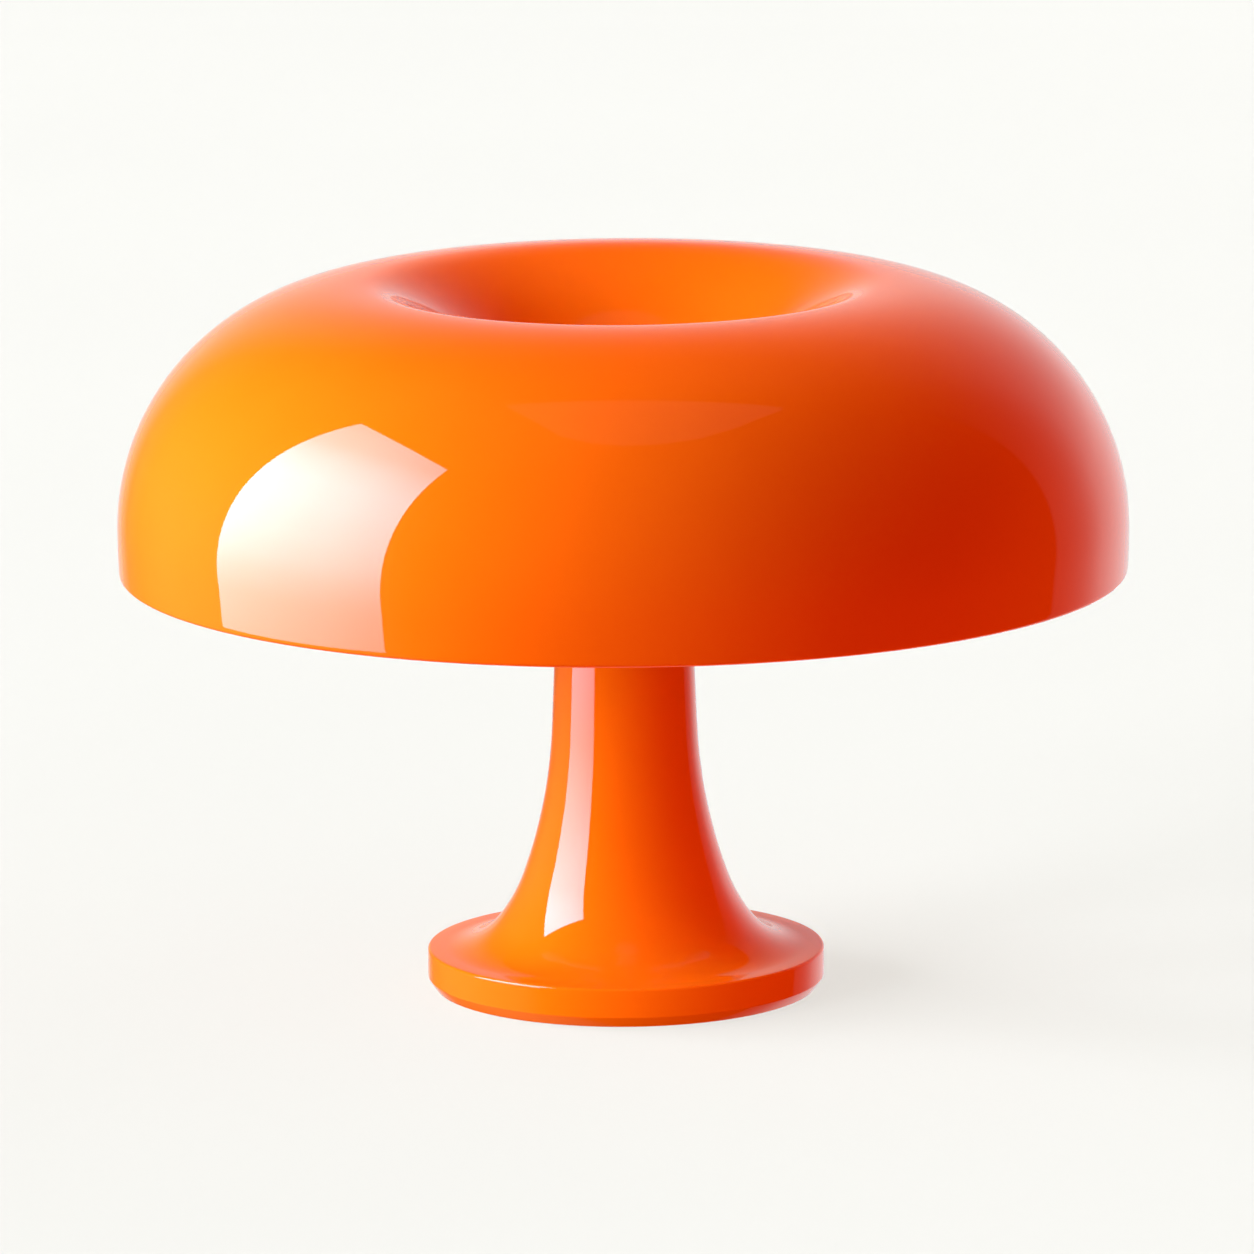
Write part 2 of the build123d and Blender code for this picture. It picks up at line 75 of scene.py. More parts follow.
# %% Set up the camera
bpy.ops.object.select_all(action="DESELECT")
CAMERA_PLACE = (0.0, -3.2, 0.75434)
CAMERA_TILT, CAMERA_TURN, CAMERA_ROLL = -0.1968, -0.0003, -0.0065
bpy.ops.object.camera_add(location=CAMERA_PLACE)
camera = bpy.context.object
camera.name = "photo_camera"
camera.data.sensor_width = 36.0
camera.data.lens = 295.33
camera.data.clip_end = 60.0
tilt = Matrix.Rotation(math.pi / 2 + CAMERA_TILT, 4, "X")
turn = Matrix.Rotation(CAMERA_TURN, 4, "Z")
roll = Matrix.Rotation(CAMERA_ROLL, 4, "Z")
camera.rotation_euler = (turn @ tilt @ roll).to_euler()
bpy.context.scene.camera = camera
print("camera turned to", [round(math.degrees(a), 2) for a in camera.rotation_euler])

# %% [markdown]
# ## Turning a moulding
# The shade, the stem and the bulbs are all round, so each is drawn once as a section, a row of
# vertices extruded one after another in the XZ plane, and then spun about the lamp's axis. A section
# is made of true arcs, so neighbouring curves run into each other without a kink.

# %% A helper for arcs and one for turned pieces
def arc_points(centre, radius, start, end, steps):
    """Points along an arc in (radius, height), from one angle to another in degrees."""
    points = []
    for i in range(steps + 1):
        angle = math.radians(start + (end - start) * i / steps)
        points.append((centre[0] + radius * math.cos(angle), centre[1] + radius * math.sin(angle)))
    return points


def draw_section(name, points):
    """One vertex, extruded from point to point in the XZ plane."""
    bpy.ops.object.select_all(action="DESELECT")
    bpy.ops.mesh.primitive_plane_add(size=0.001, location=(points[0][0], 0, points[0][1]))
    piece = bpy.context.object
    piece.name = name
    piece.data.name = name
    bpy.ops.object.transform_apply(location=True, rotation=True, scale=True)
    bpy.ops.object.mode_set(mode="EDIT")
    bpy.ops.mesh.select_all(action="SELECT")
    bpy.ops.mesh.merge(type="CENTER")
    for (x0, z0), (x1, z1) in zip(points, points[1:]):
        bpy.ops.mesh.extrude_vertices_move(TRANSFORM_OT_translate={"value": (x1 - x0, 0, z1 - z0)})
    return piece


def turn_section(name, points, steps=256, crease=30):
    """A closed section spun once round the Z axis, welded, facing outwards and smoothed."""
    piece = draw_section(name, points)
    bpy.ops.mesh.select_all(action="SELECT")
    bpy.ops.mesh.spin(steps=steps, angle=math.tau, center=(0, 0, 0), axis=(0, 0, 1))
    bpy.ops.mesh.select_all(action="SELECT")
    bpy.ops.mesh.remove_doubles(threshold=0.000002)
    bpy.ops.mesh.normals_make_consistent(inside=False)
    bpy.ops.object.mode_set(mode="OBJECT")
    bpy.ops.object.shade_smooth_by_angle(angle=math.radians(crease))
    return piece


def unique(points, least=0.00001):
    """The same points without neighbours that lie on each other."""
    kept = [points[0]]
    for point in points[1:]:
        if math.hypot(point[0] - kept[-1][0], point[1] - kept[-1][1]) > least:
            kept.append(point)
    return kept


def rounded_corner(before, corner, after, radius, steps=6):
    """Points round a corner between two straight neighbours."""
    corner, before, after = Vector(corner), Vector(before), Vector(after)
    to_before = (before - corner).normalized()
    to_after = (after - corner).normalized()
    half = to_before.angle(to_after) / 2
    setback = radius / math.tan(half)
    centre = corner + (to_before + to_after).normalized() * (radius / math.sin(half))
    start = corner + to_before * setback - centre
    end = corner + to_after * setback - centre
    sweep = start.angle_signed(end)
    points = []
    for i in range(steps + 1):
        angle = -sweep * i / steps
        c, s = math.cos(angle), math.sin(angle)
        points.append((centre.x + c * start.x - s * start.y, centre.y + s * start.x + c * start.y))
    return points


# %% [markdown]
# ## The shade
# The shade is one moulding with a wall of 3 mm: the side bows up from the rim into a dome, rolls
# over a soft lip and runs down into an open funnel, whose flat neck sits on the stem. Outside and
# inside are the same arcs, 3 mm apart, and both rim edges are softened, which is what draws the thin
# bright line along the bottom of the shade.

# %% The arcs of the shade
shade_low, shade_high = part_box("shade")
SHADE_RADIUS = shade_high.x
RIM_Z = shade_low.z
SHADE_WALL = 0.003
DOME_RADIUS = 0.0774
DOME_Z = shade_high.z - DOME_RADIUS
LIP_RADIUS = 0.0273
LIP_END = 115.0
NECK_Z = 0.176
FUNNEL_Z = 0.179
NECK_BORE = 0.0181
FUNNEL_FOOT = 0.0264


def shade_line(offset, floor_z):
    """The outside of the shade from rim to neck, or its inside at an offset."""
    drop = DOME_Z - RIM_Z
    bow_radius = (drop ** 2 + 0.0004 ** 2) / 0.0008
    bow_start = -math.degrees(math.asin(drop / (bow_radius - offset)))
    dome_x = SHADE_RADIUS - DOME_RADIUS
    lip = Vector((dome_x, shade_high.z - LIP_RADIUS))
    away = Vector((math.cos(math.radians(LIP_END)), math.sin(math.radians(LIP_END))))
    lip_foot = lip + away * LIP_RADIUS
    run = Vector((FUNNEL_FOOT, FUNNEL_Z)) - lip_foot
    funnel_radius = -run.length_squared / (2 * run.dot(away))
    funnel = lip_foot - away * funnel_radius
    funnel_end = 180 - math.degrees(math.asin((floor_z - funnel.y) / (funnel_radius - offset)))
    points = arc_points((SHADE_RADIUS - bow_radius, DOME_Z), bow_radius - offset, bow_start, 0, 6)
    points += arc_points((dome_x, DOME_Z), DOME_RADIUS - offset, 0, 90, 60)
    points += arc_points(lip, LIP_RADIUS - offset, 90, LIP_END, 12)
    points += arc_points(funnel, funnel_radius - offset, LIP_END, funnel_end, 24)
    return unique(points)


outside = shade_line(0.0, FUNNEL_Z)
inside = shade_line(SHADE_WALL, NECK_Z)
rim_edge = rounded_corner(inside[1], inside[0], outside[0], 0.0012)
rim_edge += rounded_corner(inside[0], outside[0], outside[1], 0.0012)
neck_top = rounded_corner(outside[-2], outside[-1], (NECK_BORE, FUNNEL_Z), 0.002)
neck_under = rounded_corner((NECK_BORE, NECK_Z), inside[-1], inside[-2], 0.002)
rim_top = max(z for x, z in rim_edge)
outer_run = [p for p in outside if p[1] > rim_top + 0.0004 and p[0] > neck_top[0][0] + 0.0004]
inner_run = [p for p in inside if p[1] > rim_top + 0.0004 and p[0] > neck_under[-1][0] + 0.0004]
section = rim_edge + outer_run + neck_top + [(NECK_BORE, FUNNEL_Z), (NECK_BORE, NECK_Z)]
section += neck_under + inner_run[::-1] + [rim_edge[0]]
shade = turn_section("shade_moulding", unique(section), steps=320)
print("shade:", len(shade.data.polygons), "faces,", round(1000 * shade.dimensions.x), "mm across")

# %% [markdown]
# ## The stem and its base
# Stem and base are one shell as well. From the flat disc of the base four arcs, each flatter than
# the last, sweep up into the stem, so the highlight on it is a single long stroke that fans out at
# the foot. The disc has a softened top edge and a chamfer that lifts it off the table by a shadow
# line. At the top a shoulder carries the shade, and a thinner spigot stands up inside its neck.

# %% The arcs of the stem
stem_low, stem_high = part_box("stem_base")
BASE_RADIUS = stem_high.x
SPIGOT_Z = stem_high.z
STEM_RADIUS = 0.0211
BASE_TOP = 0.0132
SHOULDER_Z = 0.175
SPIGOT_RADIUS = 0.0176
RIM_BORE = 0.0576


def stem_line(offset):
    """The four arcs from the base disc up to the straight stem."""
    steps = [(0.022, 90, 38.4), (0.0535, 38.4, 20), (0.160, 20, 2.7), (1.872, 2.7, 0)]
    cosine = lambda lean: math.cos(math.radians(lean))
    x = STEM_RADIUS + sum(r * (cosine(b) - cosine(a)) for r, a, b in steps)
    z = BASE_TOP
    points = []
    for radius, lean_a, lean_b in steps:
        centre = (x + radius * cosine(lean_a), z + radius * math.sin(math.radians(lean_a)))
        points += arc_points(centre, radius + offset, 180 + lean_a, 180 + lean_b, 20)
        x = centre[0] - radius * cosine(lean_b)
        z = centre[1] - radius * math.sin(math.radians(lean_b))
    return unique(points)


flare = stem_line(0.0)
hollow = stem_line(SHADE_WALL)
underside = stem_low.z
rim = [(RIM_BORE, underside), (BASE_RADIUS - 0.0022, underside), (BASE_RADIUS, underside + 0.0034)]
rim = rim[:1] + rounded_corner(rim[0], rim[1], rim[2], 0.0003, 3) + rounded_corner(
    rim[1], rim[2], (BASE_RADIUS, BASE_TOP), 0.0005, 4)
top_edge = rounded_corner((BASE_RADIUS, 0.005), (BASE_RADIUS, BASE_TOP), flare[0], 0.0009, 8)
head = [(STEM_RADIUS, SHOULDER_Z), (SPIGOT_RADIUS, SHOULDER_Z), (SPIGOT_RADIUS, SPIGOT_Z)]
head += [(SPIGOT_RADIUS - 0.003, SPIGOT_Z), (SPIGOT_RADIUS - 0.003, SHOULDER_Z - 0.003)]
head += [(STEM_RADIUS - 0.003, SHOULDER_Z - 0.003)]
section = rim + top_edge + flare + head + hollow[::-1] + [(RIM_BORE, BASE_TOP - 0.003), rim[0]]
stem = turn_section("stem_moulding", unique(section), steps=256)
print("stem and base:", len(stem.data.polygons), "faces,", round(1000 * stem.dimensions.z, 1), "mm high")

# %% [markdown]
# Four round holes under the shade pass the lampholders' hollow nipples, and one in the rear of the
# rim takes the cord's bush. They are cut with cylinders, as a drill would, by the Boolean modifier.

# %% Drill the stem and the rim
def drill(piece, radius, depth, middle, turned_to):
    """Cuts a round hole through a piece."""
    bpy.ops.object.select_all(action="DESELECT")
    bpy.ops.mesh.primitive_cylinder_add(
        vertices=48, radius=radius, depth=depth, location=middle, rotation=turned_to)
    cutter = bpy.context.object
    bpy.ops.object.select_all(action="DESELECT")
    piece.select_set(True)
    bpy.context.view_layer.objects.active = piece
    cut = piece.modifiers.new("hole", "BOOLEAN")
    cut.operation = "DIFFERENCE"
    cut.solver = "EXACT"
    cut.object = cutter
    bpy.ops.object.modifier_apply(modifier=cut.name)
    bpy.data.objects.remove(cutter)


HOLDER_Z = 0.160
for i in range(4):
    angle = math.radians(90 * i)
    drill(stem, 0.0053, 0.012, (0.0195 * math.cos(angle), 0.0195 * math.sin(angle), HOLDER_Z),
          (0, math.pi / 2, angle))
drill(stem, 0.00352, 0.012, (0, 0.0605, 0.008), (math.pi / 2, 0, 0))
print("stem after drilling:", len(stem.data.polygons), "faces")

# %% [markdown]
# ## The cap at the bottom of the funnel
# A shallow domed cap plugs the open end of the stem. It is seen only from above, down in the
# funnel, as a small bright disc.

# %% Turn the cap
cap_low, cap_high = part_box("stem_cap")
cap_radius = cap_high.x
edge_z = SPIGOT_Z + 0.001
crown_rise = cap_high.z - edge_z
crown_radius = (cap_radius ** 2 + crown_rise ** 2) / (2 * crown_rise)
crown_half = math.degrees(math.asin(cap_radius / crown_radius))
crown = arc_points((0, cap_high.z - crown_radius), crown_radius, 90, 90 - crown_half, 20)
plug = SPIGOT_RADIUS - 0.003 - 0.00005
section = [(0, SPIGOT_Z)] + [(0, cap_high.z)] + crown[1:-1]
section += rounded_corner(crown[-2], crown[-1], (cap_radius, SPIGOT_Z), 0.0003, 4)
section += [(cap_radius, SPIGOT_Z), (plug, SPIGOT_Z), (plug, cap_low.z), (plug - 0.002, cap_low.z)]
section += [(plug - 0.002, SPIGOT_Z), (0, SPIGOT_Z)]
cap = turn_section("funnel_cap", unique(section), steps=96)
print("cap:", len(cap.data.polygons), "faces")

# %% [markdown]
# ## The bulbs
# Each of the four small bulbs is a frosted globe whose neck narrows into its screw cap. One globe is
# turned standing up, laid along +X where the CAD has its glass, and copied round the stem.

# %% Turn the globe and lay one on each arm
glass_low, glass_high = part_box("bulb_glass_1")
GLOBE_RADIUS = glass_high.z - HOLDER_Z
globe_end = glass_high.x
neck_start = glass_low.x
globe_x = globe_end - GLOBE_RADIUS
NECK_RADIUS = 0.0081
WAIST_RADIUS = 0.010


def globe_line(offset):
    """Neck, waist and globe of the glass, set inwards by an offset."""
    reach = GLOBE_RADIUS + WAIST_RADIUS
    side = NECK_RADIUS + WAIST_RADIUS
    waist_x = globe_x - math.sqrt(reach ** 2 - side ** 2)
    meet = math.degrees(math.asin((globe_x - waist_x) / reach))
    points = [(NECK_RADIUS - offset, neck_start)]
    points += arc_points((side, waist_x), WAIST_RADIUS + offset, 180, 180 - meet, 12)
    points += arc_points((0, globe_x), GLOBE_RADIUS - offset, -meet, 90, 40)
    return unique(points)


globe_out = globe_line(0.0)
globe_in = globe_line(0.0008)
section = globe_out[:-1] + [(0, globe_end), (0, globe_end - 0.0008)] + globe_in[:-1][::-1] + [globe_out[0]]
first_globe = turn_section("globe_1", unique(section), steps=96)


def lay_on_arm(piece, number):
    """Lays a piece that stands on the axis along one of the four arms."""
    bpy.ops.object.select_all(action="DESELECT")
    piece.select_set(True)
    bpy.context.view_layer.objects.active = piece
    piece.rotation_euler = (0, math.pi / 2, math.radians(90 * (number - 1)))
    piece.location = (0, 0, HOLDER_Z)
    bpy.ops.object.transform_apply(location=True, rotation=True, scale=True)


def copy_to_arms(first, base_name):
    """Four copies of a standing piece, each with a mesh of its own, one on each arm."""
    pieces = []
    for number in (1, 2, 3, 4):
        piece = first if number == 1 else first.copy()
        if number > 1:
            piece.data = first_mesh.copy()
            bpy.context.collection.objects.link(piece)
        else:
            first_mesh = first.data.copy()
        piece.name = piece.data.name = f"{base_name}_{number}"
        lay_on_arm(piece, number)
        pieces.append(piece)
    bpy.data.meshes.remove(first_mesh)
    return pieces


globes = copy_to_arms(first_globe, "globe")
print("globes:", [[round(c, 3) for c in g.bound_box[0]] for g in globes])

# %% [markdown]
# ## The screw caps of the bulbs
# A bulb's cap is a thin metal shell whose thread is rolled into it from outside, so crests and roots
# show on both faces. The shell is turned smooth first, with many rows along its straight part. Then
# each row is pressed in by a wave that climbs one pitch a turn, as the rolling wheel does.

# %% Roll the thread of the caps
def rows(radius, start, end, step):
    """Points up a straight wall, near enough to each other to carry a wave."""
    count = max(1, round(abs(end - start) / step))
    return [(radius, start + (end - start) * i / count) for i in range(count + 1)]


def roll_thread(piece, start, end, depth, pitch, fade):
    """Presses a thread into a thin standing shell, easing in and out over a fade."""
    for vertex in piece.data.vertices:
        x, y, z = vertex.co
        if start < z < end:
            wave = 0.5 + 0.5 * math.cos(math.tau * (z / pitch) - math.atan2(y, x))
            ease = min(1.0, (z - start) / fade, (end - z) / fade)
            shrink = 1 - depth * wave * ease / math.hypot(x, y)
            vertex.co = (x * shrink, y * shrink, z)
    piece.data.update()


CAP_RADIUS = 0.0069
COLLAR_RADIUS = 0.0089
CAP_WALL = 0.0005
THREAD_PITCH = 0.00282
THREAD_DEPTH = 0.00048
ROW_STEP = 0.00024
cap_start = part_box("bulb_cap_1")[0].x
collar_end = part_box("bulb_cap_1")[1].x
flare_start, flare_end = cap_start + 0.0148, cap_start + 0.0178
outer_wall = rows(CAP_RADIUS, cap_start + 0.0002, flare_start, ROW_STEP)
outer_wall += [(COLLAR_RADIUS, flare_end), (COLLAR_RADIUS, collar_end - 0.0001)]
outer_wall += [(COLLAR_RADIUS - 0.0001, collar_end)]
inner_wall = [(COLLAR_RADIUS - CAP_WALL, collar_end), (COLLAR_RADIUS - CAP_WALL, flare_end)]
inner_wall += rows(CAP_RADIUS - CAP_WALL, flare_start, cap_start, ROW_STEP)
section = [(CAP_RADIUS - 0.0002, cap_start)] + outer_wall + inner_wall
first_screw_cap = turn_section("screw_cap_1", unique(section + section[:1]), steps=80, crease=40)
roll_thread(first_screw_cap, cap_start + 0.003, flare_start - 0.0004, THREAD_DEPTH, THREAD_PITCH, 0.0012)
screw_caps = copy_to_arms(first_screw_cap, "screw_cap")
print("screw cap:", len(screw_caps[0].data.polygons), "faces, pitch", 1000 * THREAD_PITCH, "mm")

# %% [markdown]
# ## The lampholders
# Each bulb screws into a white lampholder of two mouldings: a rear cap on the nipple and a front
# shell with the mouth. Both have shallow flutes for the fingers. The flutes are pressed into a
# turned piece in the same way as the thread, with a wave that goes round and doesn't climb.

# %% A helper that presses flutes
FLUTES = 30
FLUTE_DEPTH = 0.00035


def press_flutes(piece, start, end, least, fade=0.0008):
    """Presses shallow upright flutes into the outer wall of a standing piece."""
    for vertex in piece.data.vertices:
        x, y, z = vertex.co
        radius = math.hypot(x, y)
        if start < z < end and radius > least:
            wave = 0.5 - 0.5 * math.cos(FLUTES * math.atan2(y, x))
            ease = min(1.0, (z - start) / fade, (end - z) / fade)
            shrink = 1 - FLUTE_DEPTH * wave * ease / radius
            vertex.co = (x * shrink, y * shrink, z)
    piece.data.update()


# %% [markdown]
# The front shell has a floor that carries the contact, a skirt that the rear cap grips, two fine
# grooves where the flutes begin and end, and a rounded mouth that is wider than the sleeve.

# %% Turn the front shell
SHELL_RADIUS = 0.0126
GROOVE_RADIUS = SHELL_RADIUS - 0.0004
SKIRT_RADIUS = 0.01035
SKIRT_BORE = 0.0078
SLEEVE_BORE = 0.0077
MOUTH_RADIUS = 0.0096
shell_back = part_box("holder_shell_1")[0].x
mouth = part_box("holder_shell_1")[1].x
join = shell_back + 0.003
floor_low, floor_high = shell_back + 0.005, shell_back + 0.0075
section = [(0, floor_low), (SKIRT_BORE, floor_low), (SKIRT_BORE, shell_back), (SKIRT_RADIUS, shell_back)]
section += [(SKIRT_RADIUS, join + 0.00005), (SHELL_RADIUS - 0.0003, join + 0.00005)]
section += [(SHELL_RADIUS, join + 0.00035), (SHELL_RADIUS, join + 0.004)]
section += [(GROOVE_RADIUS, join + 0.0044), (GROOVE_RADIUS, join + 0.0052)]
section += rows(SHELL_RADIUS, join + 0.0056, mouth - 0.0066, 0.0008)
section += [(GROOVE_RADIUS, mouth - 0.0062), (GROOVE_RADIUS, mouth - 0.0054), (SHELL_RADIUS, mouth - 0.005)]
lip, seat = (MOUTH_RADIUS, mouth), (MOUTH_RADIUS, mouth - 0.007)
section += rounded_corner((SHELL_RADIUS, mouth - 0.004), (SHELL_RADIUS, mouth), lip, 0.0012, 5)
section += rounded_corner((0.0115, mouth), lip, seat, 0.0006, 4)
section += [seat, (SLEEVE_BORE, mouth - 0.007)]
section += [(SLEEVE_BORE, floor_high), (0, floor_high)]
first_shell = turn_section("holder_front_1", unique(section + section[:1]), steps=180, crease=35)
press_flutes(first_shell, join + 0.006, mouth - 0.007, GROOVE_RADIUS)
fronts = copy_to_arms(first_shell, "holder_front")
print("front shell:", len(fronts[0].data.polygons), "faces,", FLUTES, "flutes")

# %% [markdown]
# The rear cap is a small cup with a round shoulder. Its bore sits on the nipple, and its open end
# slips over the skirt of the shell.

# %% Turn the rear cap
REAR_RADIUS = 0.013
SHOULDER_RADIUS = 0.0046
NIPPLE_BORE = 0.00505
GRIP_RADIUS = 0.0104
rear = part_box("holder_cap_1")[0].x
rear_end = rear + 0.0105
back_edge = REAR_RADIUS - SHOULDER_RADIUS
section = [(NIPPLE_BORE, rear), (back_edge, rear)]
section += arc_points((back_edge, rear + SHOULDER_RADIUS), SHOULDER_RADIUS, -90, 0, 10)[1:]
section += rows(REAR_RADIUS, rear + SHOULDER_RADIUS, rear + 0.0102, 0.0008)[1:]
section += [(REAR_RADIUS - 0.0003, rear_end), (GRIP_RADIUS, rear_end)]
section += [(GRIP_RADIUS, rear + 0.0026), (NIPPLE_BORE, rear + 0.0026)]
first_rear = turn_section("holder_rear_1", unique(section + section[:1]), steps=180, crease=35)
press_flutes(first_rear, rear + SHOULDER_RADIUS, rear + 0.0098, REAR_RADIUS - 0.0004)
rears = copy_to_arms(first_rear, "holder_rear")
print("rear cap:", len(rears[0].data.polygons), "faces")

# %% [markdown]
# The brass sleeve inside the shell is drawn from strip and rolled like the bulb's cap, but much
# shallower, so that the cap runs in it.

# %% Roll the sleeve
SLEEVE_OUTSIDE, SLEEVE_INSIDE = 0.00765, 0.00735
SLEEVE_THREAD_DEPTH = 0.00014
sleeve_start, sleeve_end = (corner.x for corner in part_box("holder_sleeve_1"))
section = rows(SLEEVE_OUTSIDE, sleeve_start, sleeve_end, ROW_STEP)
section += rows(SLEEVE_INSIDE, sleeve_end, sleeve_start, ROW_STEP)
first_sleeve = turn_section("brass_sleeve_1", unique(section + section[:1]), steps=80, crease=40)
roll_thread(first_sleeve, sleeve_start + 0.005, sleeve_end - 0.0006, SLEEVE_THREAD_DEPTH, THREAD_PITCH, 0.001)
sleeves = copy_to_arms(first_sleeve, "brass_sleeve")
print("sleeve:", len(sleeves[0].data.polygons), "faces")

# %% [markdown]
# ## Finishes
# Every finish is one Principled shader. Its colour, roughness and bump are stirred by noise read
# from Object coordinates, so the pattern is the real size and stays put on each part.

# %% A helper that mixes a finish
def new_finish(name, colours, roughness, grain, bump=0.0, metallic=0.0):
    """A Principled finish: two close colours and two roughnesses stirred by noise of a grain in metres."""
    material = bpy.data.materials.new(name)
    material.use_nodes = True
    nodes, links = material.node_tree.nodes, material.node_tree.links
    shader = nodes["Principled BSDF"]
    place = nodes.new("ShaderNodeTexCoord")
    noise = nodes.new("ShaderNodeTexNoise")
    noise.inputs["Scale"].default_value = 1.0 / grain
    noise.inputs["Detail"].default_value = 3.0
    links.new(place.outputs["Object"], noise.inputs["Vector"])
    tone = nodes.new("ShaderNodeValToRGB")
    tone.color_ramp.elements[0].position = 0.35
    tone.color_ramp.elements[0].color = (*colours[0], 1)
    tone.color_ramp.elements[1].position = 0.65
    tone.color_ramp.elements[1].color = (*colours[1], 1)
    links.new(noise.outputs["Fac"], tone.inputs["Fac"])
    links.new(tone.outputs["Color"], shader.inputs["Base Color"])
    polish = nodes.new("ShaderNodeMapRange")
    polish.inputs["To Min"].default_value = roughness[0]
    polish.inputs["To Max"].default_value = roughness[1]
    links.new(noise.outputs["Fac"], polish.inputs["Value"])
    links.new(polish.outputs["Result"], shader.inputs["Roughness"])
    shader.inputs["Metallic"].default_value = metallic
    if bump:
        relief = nodes.new("ShaderNodeBump")
        relief.inputs["Strength"].default_value = 0.6
        relief.inputs["Distance"].default_value = bump
        links.new(noise.outputs["Fac"], relief.inputs["Height"])
        links.new(relief.outputs["Normal"], shader.inputs["Normal"])
    return material


def wear(piece, material):
    """Gives a piece its one finish."""
    piece.data.materials.clear()
    piece.data.materials.append(material)


# %% [markdown]
# The orange plastic is the lamp. It is coloured through, opaque and as glossy as lacquer, so the
# whole studio is drawn on it with crisp edges. Its tone drifts very slightly, as a moulded plastic's
# does, and its polish is kept almost mirror smooth.

# %% The orange plastic
ORANGE = ((0.85, 0.160, 0.003), (0.87, 0.168, 0.004))
glossy_orange = new_finish("glossy_orange", ORANGE, (0.015, 0.03), 0.06)
stem_orange = new_finish("stem_orange", ORANGE, (0.015, 0.03), 0.04)
cap_orange = new_finish("cap_orange", ORANGE, (0.02, 0.05), 0.02)
for material in (glossy_orange, stem_orange, cap_orange):
    material.node_tree.nodes["Principled BSDF"].inputs["IOR"].default_value = 1.5
wear(shade, glossy_orange)
wear(stem, stem_orange)
wear(cap, cap_orange)

# %% [markdown]
# The other parts have plain workshop finishes: black powder coat, rubber, cast iron, zinc, brass,
# white thermoset and frosted glass. Their grain is what tells them apart.

# %% Workshop finishes for the inner parts
RECIPES = {
    "plate_steel": ("powder_coat", ((0.018, 0.018, 0.02), (0.03, 0.03, 0.032)),
        (0.45, 0.6), 0.0006, 0.0001),
    "screw_steel": ("zinc_plate", ((0.55, 0.56, 0.58), (0.66, 0.66, 0.67)),
        (0.25, 0.4), 0.002, 0.00002, 1.0),
    "foot_rubber": ("foot_rubber", ((0.02, 0.02, 0.02), (0.035, 0.034, 0.033)),
        (0.7, 0.85), 0.0008, 0.00008),
    "ballast_iron": ("cast_iron", ((0.06, 0.058, 0.056), (0.12, 0.115, 0.11)),
        (0.5, 0.7), 0.0012, 0.0003, 0.6),
    "gland_rubber": ("gland_rubber", ((0.025, 0.025, 0.025), (0.04, 0.04, 0.04)),
        (0.6, 0.75), 0.0008, 0.00005),
    "seat_silicone": ("seat_silicone", ((0.7, 0.7, 0.67), (0.76, 0.76, 0.74)),
        (0.4, 0.5), 0.002, 0.00003),
    "block_plastic": ("white_block", ((0.78, 0.78, 0.74), (0.83, 0.83, 0.8)),
        (0.3, 0.42), 0.001, 0.00002),
    "terminal_brass": ("terminal_brass", ((0.66, 0.46, 0.2), (0.75, 0.55, 0.27)),
        (0.28, 0.4), 0.001, 0.00002, 1.0),
    "saddle_plastic": ("black_saddle", ((0.03, 0.03, 0.032), (0.045, 0.045, 0.046)),
        (0.4, 0.5), 0.001, 0.00003),
    "nut_steel": ("yellow_zinc", ((0.58, 0.52, 0.36), (0.68, 0.62, 0.46)),
        (0.25, 0.38), 0.002, 0.00002, 1.0),
    "holder_plastic": ("white_thermoset", ((0.8, 0.79, 0.75), (0.82, 0.81, 0.77)),
        (0.24, 0.32), 0.003, 0.000004),
    "sleeve_brass": ("drawn_brass", ((0.7, 0.5, 0.22), (0.78, 0.6, 0.32)),
        (0.2, 0.32), 0.003, 0.00001, 1.0),
    "contact_brass": ("sprung_brass", ((0.7, 0.5, 0.24), (0.78, 0.58, 0.3)),
        (0.25, 0.35), 0.002, 0.00001, 1.0),
    "bulb_metal": ("nickelled_cap", ((0.72, 0.72, 0.72), (0.8, 0.8, 0.8)),
        (0.15, 0.25), 0.002, 0.00001, 1.0),
    "bulb_vitrite": ("black_vitrite", ((0.01, 0.01, 0.013), (0.02, 0.02, 0.024)),
        (0.08, 0.16), 0.003, 0.00002),
    "bulb_solder": ("dull_solder", ((0.5, 0.5, 0.5), (0.62, 0.62, 0.62)),
        (0.3, 0.45), 0.001, 0.00006, 1.0),
    "lead_sheath": ("white_sheath", ((0.74, 0.74, 0.72), (0.8, 0.8, 0.78)),
        (0.4, 0.5), 0.002, 0.00002),
}
finishes = {slot: new_finish(*recipe) for slot, recipe in RECIPES.items()}
frosted = new_finish("frosted_glass", ((0.8, 0.79, 0.77), (0.83, 0.82, 0.8)), (0.35, 0.45), 0.0004, 0.00001)
slot_of = {sub["node"]: sub["material_slot"] for sub in frame["record"]["subparts"]}
for node, piece in parts.items():
    if slot_of[node] in finishes:
        wear(piece, finishes[slot_of[node]])
for globe in globes:
    wear(globe, frosted)
for pieces, slot in ((screw_caps, "bulb_metal"), (fronts, "holder_plastic"), (rears, "holder_plastic"),
                     (sleeves, "sleeve_brass")):
    for piece in pieces:
        wear(piece, finishes[slot])
print("finishes on CAD parts:", sorted(finishes))

# %% [markdown]
# ## Fitting the pieces to the frame
# Each turned piece takes the place of its CAD part and rides on the same body, so the shade lifts
# off and every bulb draws out with its glass.

# %% Stand the new pieces in for their parts
def stand_in(piece, node, body):
    """A new piece stands for a CAD part and rides on its body."""
    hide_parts(node)
    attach(piece, body)


